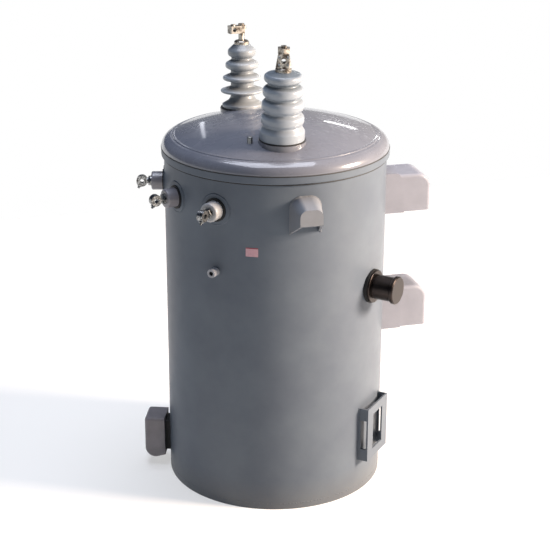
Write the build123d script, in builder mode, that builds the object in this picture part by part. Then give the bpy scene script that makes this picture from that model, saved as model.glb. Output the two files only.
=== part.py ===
from build123d import *
from math import asin, cos, degrees, hypot, radians, sin, sqrt
import os

# Pole mounted distribution transformer: a round steel tank that stands on its
# foot rim, with a domed cover, two high voltage bushings on the cover, three low
# voltage bushings on the wall and two hangers for the pole.
# Millimetres. The origin is the centre of the foot rim on the floor, +Z is up
# and +X points at the pole. Wall fittings are placed by their angle about Z,
# counted from +X towards +Y, and by their drop below the top of the wall.

# Tank
tank_radius = 250.0
tank_wall = 3.0
tank_height = 779.0
bottom_recess = 14.0
bottom_thickness = 5.0

# Cover and its clamping band
cover_wall = 3.0
cover_overhang = 5.5
cover_shoulder = 25.0
cover_rise = 68.0
band_below_joint = 8.0
band_above_joint = 9.0
band_thickness = 6.0
band_edge_round = 2.0
cover_stud_radius = 6.0
cover_stud_height = 14.0
cover_stud_round = 2.0
cover_stud_place = (-93.0, -136.0)

# High voltage bushings on the cover, on one line that is turned a little about Z
hv_offset_x = -32.0
hv_from_wall = 103.0
hv_line_turn = 2.9
hv_lean_out = 2.5
hv_seat_height = 52.0
hv_pad_radius = 52.0
hv_pad_depth = 26.0
hv_gasket_radius = 50.0
hv_gasket_thickness = 3.0
hv_crown_radius = 18.5
hv_groove_round = 4.0

# Front bushing: thick round sheds, from the lowest to the highest, on a stout core.
# The corners of each foot are a radius, a height and a rounding.
front_height = 150.0
front_shed_pitch = 30.5
front_foot = ((48.5, 0.0, 0.0), (48.5, 18.0, 6.0))
front_lowest_shed = 43.0
front_shed_slope = 8.0
front_shed_under = 6.0
front_shed_edges = (13.0, 13.0, 13.0, 12.0)
front_shed_rounds = (10.0, 10.0, 10.0, 8.0)
front_shed_radii = (46.5, 45.5, 43.5, 41.0)
front_core_radii = (40.5, 39.0, 37.0, 33.0)

# Back bushing: two thin sheds below and two full ones above, on a flared foot
back_height = 146.0
back_shed_pitch = 29.3
back_foot = ((47.0, 0.0, 0.0), (47.0, 6.0, 2.0), (33.0, 14.0, 10.0), (28.0, 21.0, 6.0))
back_lowest_shed = 36.5
back_shed_slope = 8.0
back_shed_under = 4.5
back_shed_edges = (4.5, 6.5, 11.0, 12.0)
back_shed_rounds = (2.6, 4.0, 7.0, 8.0)
back_shed_radii = (50.0, 44.5, 38.0, 32.0)
back_core_radii = (26.5, 26.5, 26.0, 24.0)

# High voltage terminals on a round foot. The front one is a neck with an eye for
# the wire and a nut on it, the back one a stem with a clamp at its side.
hv_foot_radius = 17.2
hv_foot_height = 9.0
hv_foot_chamfer = 3.0
neck_width = 33.0
neck_depth = 22.0
neck_height = 31.0
neck_side_angle = 80.0
neck_round = 7.0
neck_eye_bore = 5.5
neck_eye_rise = 15.0
nut_flats = 25.0
nut_height = 11.0
nut_tip_radius = 6.0
nut_tip_height = 4.0
neck_turn = -105.0
stem_radius = 7.0
stem_height = 38.0
clamp_back = 9.0
clamp_front = 31.0
clamp_width = 20.0
clamp_height = 17.0
clamp_round = 4.0
clamp_rise = 17.0
clamp_bore = 4.5
clamp_bore_out = 20.0
clamp_screw_radius = 5.5
clamp_screw_height = 3.0
clamp_turn = 188.0

# Low voltage bushings on the wall, spaced evenly round it
lv_count = 3
lv_first_angle = -135.5
lv_step_angle = -29.2
lv_drop = 75.0
lv_boss_radius = 34.0
lv_boss_height = 1.0
lv_gasket_radius = 26.0
lv_gasket_thickness = 3.0
lv_body_radius = 21.0
lv_body_length = 25.5
lv_body_round = 4.0
lv_washer_radius = 12.0
lv_washer_length = 2.0
lv_nut_flats = 19.0
lv_nut_length = 5.0
lv_stud_radius = 6.5
lv_stud_length = 7.0
lv_eye_radius = 12.5
lv_eye_bore = 5.0
lv_eye_thickness = 14.0

# Filling port
port_angle = -135.7
port_drop = 215.0
port_radius = 9.5
port_bore = 5.0
port_length = 20.0

# Tap changer housing on the wall
tap_angle = -44.8
tap_drop = 282.0
tap_seat_height = 5.0
tap_gasket_radius = 38.5
tap_flange_radius = 37.0
tap_flange_thickness = 5.0
tap_flange_round = 1.5
tap_barrel_radius = 27.5
tap_barrel_length = 44.0
tap_rim_radius = 31.5
tap_rim_length = 10.0
tap_rim_bevel = 2.0

# Lifting lugs, hoods on both sides of the tank that are open below
lug_drop = 36.0
lug_root_width = 68.0
lug_root_height = 82.0
lug_root_round = 25.0
lug_front_width = 50.0
lug_front_height = 35.0
lug_front_rise = 30.0
lug_front_round = 16.0
lug_reach = 47.0
lug_wall = 5.0

# Hangers on the pole side
hanger_drop = 71.0
hanger_width = 90.0
hanger_reach = 108.0
hanger_wall = 6.0
hanger_spacing = 285.75
upper_hanger_height = 88.0
lower_hanger_height = 100.0
hanger_corner = 32.0
hanger_edge_round = 8.0
hanger_slot_width = 22.0
hanger_slot_height = 48.0
gusset_thickness = 7.0
gusset_lap = 2.0
gusset_reach = 42.0
gusset_top_rise = 6.0
gusset_shoulder = 15.0
gusset_slope = 28.0
gusset_round = 8.0

# Low bracket near the floor, on the side away from the pole. It leans out at its
# top, and its heel is how much higher its bottom is at the back than at the front.
low_bracket_angle = 165.0
low_bracket_width = 70.0
low_bracket_height = 112.0
low_bracket_middle = 66.0
low_bracket_lean = 5.0
low_bracket_heel = 14.0
low_bracket_gap = 9.0
low_bracket_reach = 57.0
low_bracket_wall = 4.0
low_bracket_round = 24.0
low_bracket_edge_round = 8.0
low_pad_width = 44.0
low_pad_margin = 12.0

# Bracket for a rating plate, a folded open frame near the floor
plate_bracket_angle = -42.4
plate_bracket_width = 107.0
plate_bracket_low = 81.0
plate_bracket_height = 130.0
plate_bracket_reach = 18.0
plate_bracket_sheet = 4.0
plate_bracket_side = 28.0
plate_bracket_end = 21.0
plate_bracket_leg_end = 29.0

# Core and windings inside the tank, one plain block
core_width = 280.0
core_depth = 220.0
core_height = 420.0
core_round = 30.0

# Heights and radii that follow from the sizes above
tank_inside = tank_radius - tank_wall
band_low = tank_height - band_below_joint
band_high = tank_height + band_above_joint
cover_radius = tank_radius + cover_overhang
shoulder_centre = cover_radius - cover_shoulder
crown_sag = cover_rise - cover_shoulder
crown_radius = (shoulder_centre**2 + cover_rise**2 - cover_shoulder**2) / (2 * crown_sag)
crown_centre = band_high + cover_rise - crown_radius
crown_join = degrees(asin(shoulder_centre / (crown_radius - cover_shoulder)))
lv_level = tank_height - lv_drop
port_level = tank_height - port_drop
tap_level = tank_height - tap_drop
lug_high = tank_height - lug_drop
upper_hanger_low = tank_height - hanger_drop - upper_hanger_height
lower_hanger_low = upper_hanger_low - hanger_spacing


def wall_plane(angle, level, radius):
    """Plane whose normal points out of the tank at an angle, with its Y axis up."""
    out = (cos(radians(angle)), sin(radians(angle)), 0)
    sideways = (-sin(radians(angle)), cos(radians(angle)), 0)
    place = (radius * out[0], radius * out[1], level)
    return Plane(origin=place, x_dir=sideways, z_dir=out)


def section_plane(angle):
    """Upright plane through the tank's axis: X is the radius and Y is the height."""
    out = (cos(radians(angle)), sin(radians(angle)), 0)
    back = (sin(radians(angle)), -cos(radians(angle)), 0)
    return Plane(origin=(0, 0, 0), x_dir=out, z_dir=back)


def wall_under(width):
    """Distance from the axis to the wall under the edges of a flat piece this wide."""
    return sqrt(tank_radius**2 - (width / 2) ** 2) - tank_wall


def out_along(edge, direction):
    """How far an edge's middle lies from the tank's axis in a direction."""
    return edge.center().dot(direction)


def finish(part, name):
    """Label a finished piece and write it to its own file."""
    part.label = name
    export_step(part, f"parts/{name}.step")


os.makedirs("parts", exist_ok=True)

# Rolled wall of the tank, which stands on its own lower edge
with BuildPart() as tank_shell:
    with BuildSketch():
        Circle(tank_radius)
        Circle(tank_inside, mode=Mode.SUBTRACT)
    extrude(amount=tank_height)
finish(tank_shell.part, "tank_shell")

# Bottom plate, set up inside the wall
with BuildPart() as tank_bottom:
    with BuildSketch(Plane.XY.offset(bottom_recess)):
        Circle(tank_inside)
    extrude(amount=bottom_thickness)
finish(tank_bottom.part, "tank_bottom")

# Core and windings on the bottom plate
with BuildPart() as core:
    with BuildSketch(Plane.XY.offset(bottom_recess + bottom_thickness)):
        RectangleRounded(core_width, core_depth, core_round)
    extrude(amount=core_height)
finish(core.part, "core_and_windings")

# Full round of the tank, which trims what is welded on its wall
with BuildPart() as tank_round:
    with BuildSketch():
        Circle(tank_radius)
    extrude(amount=tank_height)


def bushing_plane(side):
    """Seat of a high voltage bushing: side is -1 at the front and 1 at the back."""
    along = (-sin(radians(hv_line_turn)), cos(radians(hv_line_turn)))
    distance = side * (tank_radius - hv_from_wall)
    place = (hv_offset_x + distance * along[0], distance * along[1], band_high + hv_seat_height)
    lean = side * sin(radians(hv_lean_out))
    return Plane(
        origin=place,
        x_dir=(along[1], -along[0], 0),
        z_dir=(lean * along[0], lean * along[1], cos(radians(hv_lean_out))),
    )


def dome(inset):
    """Solid under the domed cover, smaller than its outside by the inset."""
    with BuildPart() as solid:
        with BuildSketch(Plane.XZ):
            with BuildLine():
                floor = Line((0, tank_height), (cover_radius - inset, tank_height))
                Line(floor @ 1, (cover_radius - inset, band_high))
                CenterArc((shoulder_centre, band_high), cover_shoulder - inset, 0, 90 - crown_join)
                top = CenterArc((0, crown_centre), crown_radius - inset, 90 - crown_join, crown_join)
                Line(top @ 1, floor @ 0)
            make_face()
        revolve(axis=Axis.Z)
    return solid.part


# Space under the cover, as wide as the inside of the tank, with room for the pads
with BuildPart() as cover_space:
    add(dome(cover_wall))
    with BuildSketch(Plane.XY.offset(tank_height)):
        Circle(tank_inside)
    extrude(amount=band_above_joint + cover_rise, mode=Mode.INTERSECT)
    for side in (-1, 1):
        with BuildSketch(bushing_plane(side)):
            Circle(hv_pad_radius + cover_wall)
        extrude(amount=hv_pad_depth, both=True, mode=Mode.SUBTRACT)

# Domed cover, a pressed sheet with a flat pad under each high voltage bushing
with BuildPart() as cover:
    add(dome(0))
    with BuildSketch(Plane.XY.offset(tank_height)):
        Circle(cover_radius)
        Circle(tank_radius, mode=Mode.SUBTRACT)
    extrude(amount=band_above_joint, mode=Mode.SUBTRACT)
    add(cover_space.part, mode=Mode.SUBTRACT)
    for side in (-1, 1):
        with BuildSketch(bushing_plane(side)):
            Circle(hv_pad_radius)
        extrude(amount=hv_pad_depth, mode=Mode.SUBTRACT)
    for side in (-1, 1):
        with BuildSketch(bushing_plane(side)):
            Circle(hv_pad_radius)
        extrude(amount=-hv_pad_depth)
finish(cover.part, "cover")

# Band that clamps the cover to the tank
with BuildPart() as cover_band:
    with BuildSketch(Plane.XY.offset(band_low)):
        Circle(tank_radius + band_thickness)
        Circle(tank_radius, mode=Mode.SUBTRACT)
    extrude(amount=band_high - band_low)
    outer_edges = cover_band.edges().filter_by(GeomType.CIRCLE).group_by(SortBy.RADIUS)[-1]
    fillet(outer_edges, radius=band_edge_round)
finish(cover_band.part, "cover_band")

# Small stud on the cover beside the front bushing
stud_distance = hypot(cover_stud_place[0], cover_stud_place[1])
stud_seat = crown_centre + sqrt(crown_radius**2 - (stud_distance + cover_stud_radius) ** 2)
with BuildPart() as cover_stud:
    with BuildSketch(Plane(origin=(cover_stud_place[0], cover_stud_place[1], stud_seat))):
        Circle(cover_stud_radius)
    extrude(amount=cover_stud_height)
    fillet(cover_stud.edges().group_by(Axis.Z)[-1], radius=cover_stud_round)
    add(dome(0), mode=Mode.SUBTRACT)
finish(cover_stud.part, "cover_stud")


def bushing_profile(height, pitch, foot, lowest, slope, under, sheds, core_radii):
    """Half outline of a high voltage porcelain, as corners from the axis out and back with their roundings."""
    corners = [(0, 0, 0), *foot]
    for index, (edge, rounding, shed_radius) in enumerate(sheds):
        middle = lowest + index * pitch
        corners.append((core_radii[index], middle - edge / 2 - under, hv_groove_round))
        corners.append((shed_radius, middle - edge / 2, rounding))
        corners.append((shed_radius, middle + edge / 2, rounding))
        if index + 1 < len(core_radii):
            corners.append((core_radii[index + 1], middle + edge / 2 + slope, hv_groove_round))
    crown = height - hv_gasket_thickness
    corners += [(hv_crown_radius, crown, 0), (0, crown, 0)]
    points = [(radius, hv_gasket_thickness + level) for radius, level, rounding in corners]
    return FilletPolyline(*points, radius=[rounding for radius, level, rounding in corners], close=True)


front_sheds = list(zip(front_shed_edges, front_shed_rounds, front_shed_radii))
back_sheds = list(zip(back_shed_edges, back_shed_rounds, back_shed_radii))
front_form = (front_foot, front_lowest_shed, front_shed_slope, front_shed_under, front_sheds, front_core_radii)
back_form = (back_foot, back_lowest_shed, back_shed_slope, back_shed_under, back_sheds, back_core_radii)
front = (front_height, front_shed_pitch, *front_form)
back = (back_height, back_shed_pitch, *back_form)
for side, place, outline in ((-1, "front", front), (1, "back", back)):
    seat = bushing_plane(side)

    # Rubber ring between the porcelain and the cover
    with BuildPart() as gasket:
        with BuildSketch(seat):
            Circle(hv_gasket_radius)
        extrude(amount=hv_gasket_thickness)
    finish(gasket.part, f"hv_gasket_{place}")

    # Porcelain with its sheds
    with BuildPart() as bushing:
        with BuildSketch(Plane(origin=seat.origin, x_dir=seat.x_dir, z_dir=-seat.y_dir)):
            with BuildLine():
                bushing_profile(*outline)
            make_face()
        revolve(axis=Axis(seat.origin, seat.z_dir))
    finish(bushing.part, f"hv_bushing_{place}")


def turned(plane, angle, rise):
    """Plane raised along its own normal, with its X axis turned to an angle about Z."""
    return Plane(
        origin=plane.offset(rise).origin,
        x_dir=(cos(radians(angle)), sin(radians(angle)), 0),
        z_dir=plane.z_dir,
    )


# Front terminal: a nut on a neck that widens to its foot, with an eye for one wire
front_top = bushing_plane(-1).offset(front_height)
neck_seat = turned(front_top, neck_turn, hv_foot_height)
neck_eye = turned(neck_seat, neck_turn, neck_eye_rise)
neck_top = neck_seat.offset(neck_height)
neck_side = Plane(origin=neck_seat.origin, x_dir=neck_seat.y_dir, z_dir=neck_seat.x_dir)
with BuildPart() as neck:
    with BuildSketch(neck_seat):
        RectangleRounded(neck_depth, neck_width, neck_round)
    extrude(amount=neck_height)
    with BuildSketch(neck_side):
        Trapezoid(neck_width, neck_height, neck_side_angle, align=(Align.CENTER, Align.MIN))
    extrude(amount=neck_depth, both=True, mode=Mode.INTERSECT)

with BuildPart() as front_terminal:
    with BuildSketch(front_top):
        Circle(hv_foot_radius)
    extrude(amount=hv_foot_height)
    chamfer(front_terminal.edges().group_by(Axis.Z)[-1], length=hv_foot_chamfer)
    add(neck.part)
    with BuildSketch(neck_top):
        RegularPolygon(nut_flats / 2, 6, major_radius=False)
    extrude(amount=nut_height)
    with BuildSketch(neck_top.offset(nut_height)):
        Circle(nut_tip_radius)
    extrude(amount=nut_tip_height)
    with BuildSketch(Plane(origin=neck_eye.origin, z_dir=neck_eye.x_dir)):
        Circle(neck_eye_bore)
    extrude(amount=neck_depth, both=True, mode=Mode.SUBTRACT)
finish(front_terminal.part, "hv_terminal_front")

# Back terminal: a stem with a clamp at its side, whose screw holds one wire
back_top = bushing_plane(1).offset(back_height)
clamp_seat = turned(back_top, clamp_turn, hv_foot_height + clamp_rise)
clamp_middle = (clamp_front - clamp_back) / 2
with BuildPart() as back_terminal:
    with BuildSketch(back_top):
        Circle(hv_foot_radius)
    extrude(amount=hv_foot_height)
    chamfer(back_terminal.edges().group_by(Axis.Z)[-1], length=hv_foot_chamfer)
    with BuildSketch(back_top.offset(hv_foot_height)):
        Circle(stem_radius)
    extrude(amount=stem_height)
    with BuildSketch(clamp_seat):
        with Locations((clamp_middle, 0)):
            RectangleRounded(clamp_back + clamp_front, clamp_width, clamp_round)
    extrude(amount=clamp_height)
    with BuildSketch(clamp_seat.offset(clamp_height)):
        with Locations((clamp_bore_out, 0)):
            Circle(clamp_screw_radius)
    extrude(amount=clamp_screw_height)
    with BuildSketch(Plane(origin=clamp_seat.offset(clamp_height / 2).origin, x_dir=clamp_seat.x_dir, z_dir=clamp_seat.y_dir)):
        with Locations((clamp_bore_out, 0)):
            Circle(clamp_bore)
    extrude(amount=clamp_width, both=True, mode=Mode.SUBTRACT)
finish(back_terminal.part, "hv_terminal_back")

for index in range(lv_count):
    number = index + 1
    angle = lv_first_angle + index * lv_step_angle
    out = wall_plane(angle, 0, 0).z_dir

    # Ring welded on the wall as a flat seat
    with BuildPart() as boss:
        with BuildSketch(wall_plane(angle, lv_level, tank_inside)):
            Circle(lv_boss_radius)
        extrude(amount=tank_wall + lv_boss_height)
        add(tank_round.part, mode=Mode.SUBTRACT)
    finish(boss.part, f"lv_boss_{number}")

    # Rubber ring under the bushing
    boss_face = tank_radius + lv_boss_height
    with BuildPart() as gasket:
        with BuildSketch(wall_plane(angle, lv_level, boss_face)):
            Circle(lv_gasket_radius)
        extrude(amount=lv_gasket_thickness)
    finish(gasket.part, f"lv_gasket_{number}")

    # Short porcelain bushing
    body_seat = boss_face + lv_gasket_thickness
    with BuildPart() as bushing:
        with BuildSketch(wall_plane(angle, lv_level, body_seat)):
            Circle(lv_body_radius)
        extrude(amount=lv_body_length)
        outer_rim = bushing.edges().filter_by(GeomType.CIRCLE).sort_by(lambda e: out_along(e, out))[-1]
        fillet(outer_rim, radius=lv_body_round)
    finish(bushing.part, f"lv_bushing_{number}")

    # Terminal: washer, nut, stud and an eye for the cable
    washer_seat = body_seat + lv_body_length
    nut_seat = washer_seat + lv_washer_length
    eye_centre = nut_seat + lv_stud_length + lv_eye_radius
    with BuildPart() as terminal:
        with BuildSketch(wall_plane(angle, lv_level, washer_seat)):
            Circle(lv_washer_radius)
        extrude(amount=lv_washer_length)
        with BuildSketch(wall_plane(angle, lv_level, nut_seat)):
            RegularPolygon(lv_nut_flats / 2, 6, major_radius=False)
        extrude(amount=lv_nut_length)
        with BuildSketch(wall_plane(angle, lv_level, nut_seat)):
            Circle(lv_stud_radius)
        extrude(amount=lv_stud_length + lv_eye_radius)
        with BuildSketch(section_plane(angle)):
            with Locations((eye_centre, lv_level)):
                Circle(lv_eye_radius)
        extrude(amount=lv_eye_thickness / 2, both=True)
        with BuildSketch(section_plane(angle)):
            with Locations((eye_centre, lv_level)):
                Circle(lv_eye_bore)
        extrude(amount=lv_eye_thickness, both=True, mode=Mode.SUBTRACT)
    finish(terminal.part, f"lv_terminal_{number}")

# Filling port, a short open coupling
with BuildPart() as port:
    with BuildSketch(wall_plane(port_angle, port_level, tank_inside)):
        Circle(port_radius)
    extrude(amount=tank_wall + port_length)
    add(tank_round.part, mode=Mode.SUBTRACT)
    with BuildSketch(wall_plane(port_angle, port_level, tank_radius)):
        Circle(port_bore)
    extrude(amount=port_length, mode=Mode.SUBTRACT)
finish(port.part, "filling_port")

# Tap changer housing: gasket, flange and a cap with a wider rim at its end
flange_seat = tank_radius + tap_seat_height
barrel_seat = flange_seat + tap_flange_thickness
with BuildPart() as tap_gasket:
    with BuildSketch(wall_plane(tap_angle, tap_level, tank_inside)):
        Circle(tap_gasket_radius)
    extrude(amount=tank_wall + tap_seat_height)
    add(tank_round.part, mode=Mode.SUBTRACT)
finish(tap_gasket.part, "tap_changer_gasket")

with BuildPart() as tap_flange:
    with BuildSketch(wall_plane(tap_angle, tap_level, flange_seat)):
        Circle(tap_flange_radius)
    extrude(amount=tap_flange_thickness)
    fillet(tap_flange.edges().filter_by(GeomType.CIRCLE), radius=tap_flange_round)
finish(tap_flange.part, "tap_changer_flange")

with BuildPart() as tap_cap:
    with BuildSketch(wall_plane(tap_angle, tap_level, barrel_seat)):
        Circle(tap_barrel_radius)
    extrude(amount=tap_barrel_length + tap_rim_length)
    with BuildSketch(wall_plane(tap_angle, tap_level, barrel_seat + tap_barrel_length)):
        Circle(tap_rim_radius)
    extrude(amount=tap_rim_length)
    rim_edges = tap_cap.edges().filter_by(GeomType.CIRCLE).group_by(SortBy.RADIUS)[-1]
    chamfer(rim_edges, length=tap_rim_bevel)
finish(tap_cap.part, "tap_changer_cap")


def lug_solid(angle, inset):
    """Solid of a lifting lug between its root and its front, smaller by the inset."""
    root_middle = lug_high - lug_root_height / 2 - inset
    front_middle = lug_high - lug_root_height + lug_front_rise + lug_front_height / 2 - inset
    with BuildPart() as solid:
        with BuildSketch(wall_plane(angle, root_middle, tank_inside)) as root:
            Rectangle(lug_root_width - 2 * inset, lug_root_height)
            fillet(root.vertices().group_by(Axis.Y)[-1], radius=lug_root_round - inset)
        with BuildSketch(wall_plane(angle, front_middle, tank_radius + lug_reach - inset)) as front:
            Rectangle(lug_front_width - 2 * inset, lug_front_height)
            fillet(front.vertices().group_by(Axis.Y)[-1], radius=lug_front_round - inset)
        loft()
    return solid.part


for angle, place in ((-90, "front"), (90, "back")):
    with BuildPart() as lug:
        add(lug_solid(angle, 0))
        add(lug_solid(angle, lug_wall), mode=Mode.SUBTRACT)
        add(tank_round.part, mode=Mode.SUBTRACT)
    finish(lug.part, f"lifting_lug_{place}")


def hanger(level, height):
    """Pole hanger: a hood open at its bottom, with gussets and an open slot."""
    reach = tank_radius + hanger_reach
    root = wall_under(hanger_width + 2 * gusset_thickness)
    inner_reach = reach - hanger_wall
    inner_height = height - hanger_wall
    with BuildPart() as hood:
        with BuildSketch(Plane.XZ) as side_view:
            with Locations(((root + reach) / 2, level + height / 2)):
                Rectangle(reach - root, height)
            corner = side_view.vertices().group_by(Axis.X)[-1].sort_by(Axis.Y)[-1]
            fillet(corner, radius=hanger_corner)
        extrude(amount=hanger_width / 2, both=True)
        rims = hood.edges().group_by(Axis.Y)[0] + hood.edges().group_by(Axis.Y)[-1]
        free_rims = rims.filter_by(lambda e: e.center().Z > level + hanger_wall and e.center().X > tank_radius)
        fillet(free_rims, radius=hanger_edge_round)
        with BuildSketch(Plane.XZ) as hollow:
            with Locations(((root + inner_reach) / 2, level + inner_height / 2)):
                Rectangle(inner_reach - root, inner_height)
            corner = hollow.vertices().group_by(Axis.X)[-1].sort_by(Axis.Y)[-1]
            fillet(corner, radius=hanger_corner - hanger_wall)
        extrude(amount=hanger_width / 2 - hanger_wall, both=True, mode=Mode.SUBTRACT)
        with BuildSketch(Plane.YZ.offset(inner_reach)):
            with Locations((0, level)):
                SlotOverall(2 * hanger_slot_height, hanger_slot_width, rotation=90)
        extrude(amount=hanger_wall, mode=Mode.SUBTRACT)
        gusset_out = tank_radius + gusset_reach
        gusset_high = level + height + gusset_top_rise
        for inner in (-hanger_width / 2 - gusset_thickness, hanger_width / 2 - gusset_lap):
            with BuildSketch(Plane.XZ.offset(-inner)):
                with BuildLine():
                    FilletPolyline(
                        (root, level),
                        (gusset_out, level),
                        (gusset_out, gusset_high - gusset_slope),
                        (gusset_out - gusset_shoulder, gusset_high),
                        (root, gusset_high),
                        radius=[0, 0, gusset_round, gusset_round, 0],
                        close=True,
                    )
                make_face()
            extrude(amount=-gusset_thickness - gusset_lap)
        add(tank_round.part, mode=Mode.SUBTRACT)
    return hood.part


finish(hanger(upper_hanger_low, upper_hanger_height), "upper_hanger")
finish(hanger(lower_hanger_low, lower_hanger_height), "lower_hanger")

# Low bracket: a pressed cover that stands off the wall on a narrow pad
bracket_side = section_plane(low_bracket_angle)
bracket_place = bracket_side.from_local_coords((tank_radius, low_bracket_middle, 0))
leaning = Plane(bracket_place, bracket_side.x_dir, bracket_side.z_dir).rotated((0, 0, -low_bracket_lean))
leaning_back = Plane(leaning.origin, -leaning.z_dir, leaning.x_dir)
bracket_half = low_bracket_height / 2
low_pad_height = low_bracket_height - low_bracket_heel - 2 * low_pad_margin
with BuildPart() as low_bracket:
    with BuildSketch(leaning):
        with BuildLine():
            FilletPolyline(
                (low_bracket_gap, low_bracket_heel - bracket_half),
                (low_bracket_reach, -bracket_half),
                (low_bracket_reach, bracket_half),
                (low_bracket_gap, bracket_half),
                radius=[0, low_bracket_round, 0, 0],
                close=True,
            )
        make_face()
    extrude(amount=low_bracket_width / 2, both=True)
    front_side = low_bracket_gap + low_bracket_wall
    outer_edges = low_bracket.edges().filter_by(lambda e: leaning.to_local_coords(e.center()).X > front_side)
    fillet(outer_edges, radius=low_bracket_edge_round)
    with BuildSketch(leaning):
        with BuildLine():
            FilletPolyline(
                (low_bracket_gap + low_bracket_wall, low_bracket_heel - bracket_half + low_bracket_wall),
                (low_bracket_reach - low_bracket_wall, -bracket_half + low_bracket_wall),
                (low_bracket_reach - low_bracket_wall, bracket_half - low_bracket_wall),
                (low_bracket_gap + low_bracket_wall, bracket_half - low_bracket_wall),
                radius=[0, low_bracket_round - low_bracket_wall, 0, 0],
                close=True,
            )
        make_face()
    extrude(amount=low_bracket_width / 2 - low_bracket_wall, both=True, mode=Mode.SUBTRACT)
    with BuildSketch(leaning_back.offset(low_bracket_gap)):
        with Locations((0, low_bracket_heel / 2)):
            Rectangle(low_pad_width - 2 * low_bracket_wall, low_pad_height - 2 * low_bracket_wall)
    extrude(amount=low_bracket_wall, mode=Mode.SUBTRACT)
finish(low_bracket.part, "low_bracket")

with BuildPart() as low_pad:
    with BuildSketch(leaning_back):
        with Locations((0, low_bracket_heel / 2)):
            Rectangle(low_pad_width, low_pad_height)
    extrude(amount=low_bracket_gap, both=True)
    add(tank_round.part, mode=Mode.SUBTRACT)
finish(low_pad.part, "low_bracket_pad")

# Rating plate bracket: a folded frame, open in its face and both legs
frame_out = tank_radius + plate_bracket_reach
frame_inside = frame_out - plate_bracket_sheet
frame_root = wall_under(plate_bracket_width)
frame_middle = plate_bracket_low + plate_bracket_height / 2
with BuildPart() as plate_bracket:
    with BuildSketch(wall_plane(plate_bracket_angle, frame_middle, frame_root)):
        Rectangle(plate_bracket_width, plate_bracket_height)
    extrude(amount=frame_out - frame_root)
    with BuildSketch(wall_plane(plate_bracket_angle, frame_middle, frame_root)):
        Rectangle(plate_bracket_width - 2 * plate_bracket_sheet, plate_bracket_height)
    extrude(amount=frame_inside - frame_root, mode=Mode.SUBTRACT)
    with BuildSketch(wall_plane(plate_bracket_angle, frame_middle, frame_inside)):
        Rectangle(plate_bracket_width - 2 * plate_bracket_side, plate_bracket_height - 2 * plate_bracket_end)
    extrude(amount=plate_bracket_sheet, mode=Mode.SUBTRACT)
    with BuildSketch(section_plane(plate_bracket_angle)):
        with Locations(((tank_radius + frame_inside) / 2, frame_middle)):
            Rectangle(frame_inside - tank_radius, plate_bracket_height - 2 * plate_bracket_leg_end)
    extrude(amount=plate_bracket_width, both=True, mode=Mode.SUBTRACT)
    add(tank_round.part, mode=Mode.SUBTRACT)
finish(plate_bracket.part, "plate_bracket")
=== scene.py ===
import bpy
import bmesh
from math import atan2, cos, pi, radians, sin, sqrt
from mathutils import Matrix, Vector


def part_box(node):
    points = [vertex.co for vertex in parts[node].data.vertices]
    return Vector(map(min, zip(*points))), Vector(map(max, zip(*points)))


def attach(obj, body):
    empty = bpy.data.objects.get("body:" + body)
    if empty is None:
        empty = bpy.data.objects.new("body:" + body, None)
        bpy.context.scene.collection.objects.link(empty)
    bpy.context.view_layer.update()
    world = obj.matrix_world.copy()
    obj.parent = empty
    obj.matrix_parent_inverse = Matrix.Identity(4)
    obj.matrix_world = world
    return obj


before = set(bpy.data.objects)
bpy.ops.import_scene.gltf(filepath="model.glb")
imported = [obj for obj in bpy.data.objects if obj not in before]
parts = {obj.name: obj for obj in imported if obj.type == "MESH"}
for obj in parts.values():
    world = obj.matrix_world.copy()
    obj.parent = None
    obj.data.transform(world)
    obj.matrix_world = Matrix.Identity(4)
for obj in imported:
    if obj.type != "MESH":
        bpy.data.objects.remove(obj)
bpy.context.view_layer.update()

# Camera. It stands in front of the tank, a little to its left and well above the cover, and looks down on it
# through a long lens. It is turned about its own axis by a fifth of a degree.
scene = bpy.context.scene
camera_turn = radians(-15.0)
camera_tilt = radians(20.566)
camera_roll = radians(0.2)
camera_distance = 3.2885
camera_height = 1.7087
camera = bpy.data.objects.new("camera", bpy.data.cameras.new("camera"))
scene.collection.objects.link(camera)
camera.data.lens = 99.3
camera.data.sensor_width = 36.0
camera.location = (camera_distance * sin(camera_turn), -camera_distance * cos(camera_turn), camera_height)
turned_to = Matrix.Rotation(camera_turn, 3, "Z") @ Matrix.Rotation(pi / 2 - camera_tilt, 3, "X")
camera.rotation_euler = (turned_to @ Matrix.Rotation(camera_roll, 3, "Z")).to_euler()
scene.camera = camera
scene.view_settings.view_transform = "Standard"


# Studio. A warm panel stands on the right and is the only strong light. A cool sheet hangs above, and two
# thin tubes draw the bright lines on the glossy cover. The room is dark on the left, and white up to just
# above the horizon.
def linear(code):
    """Linear colour of an sRGB hex code."""
    shares = [int(code[i:i + 2], 16) / 255 for i in (0, 2, 4)]
    return [s / 12.92 if s <= 0.04045 else ((s + 0.055) / 1.055) ** 2.4 for s in shares] + [1.0]


def add_node(tree, kind, settings, links):
    """Add a node, give its properties and inputs their settings and link its inputs to other outputs."""
    made = tree.nodes.new(kind)
    for name, value in settings.items():
        if isinstance(name, str) and hasattr(made, name):
            setattr(made, name, value)
        else:
            made.inputs[name].default_value = value
    for name, source in links.items():
        tree.links.new(source, made.inputs[name])
    return made


def add_light(name, start, end, width, aim, power, colour):
    """Rectangular light from a start to an end, this wide, with its face turned towards a point."""
    light = bpy.data.objects.new(name, bpy.data.lights.new(name, "AREA"))
    along = Vector(end) - Vector(start)
    middle = (Vector(start) + Vector(end)) / 2
    light.data.shape = "RECTANGLE"
    light.data.size, light.data.size_y = along.length, width
    light.data.energy = power
    light.data.color = linear(colour)[:3]
    side = along.normalized()
    away = middle - Vector(aim)
    away = (away - away.dot(side) * side).normalized()
    light.rotation_euler = Matrix((side, away.cross(side), away)).transposed().to_euler()
    light.location = middle
    scene.collection.objects.link(light)


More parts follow.
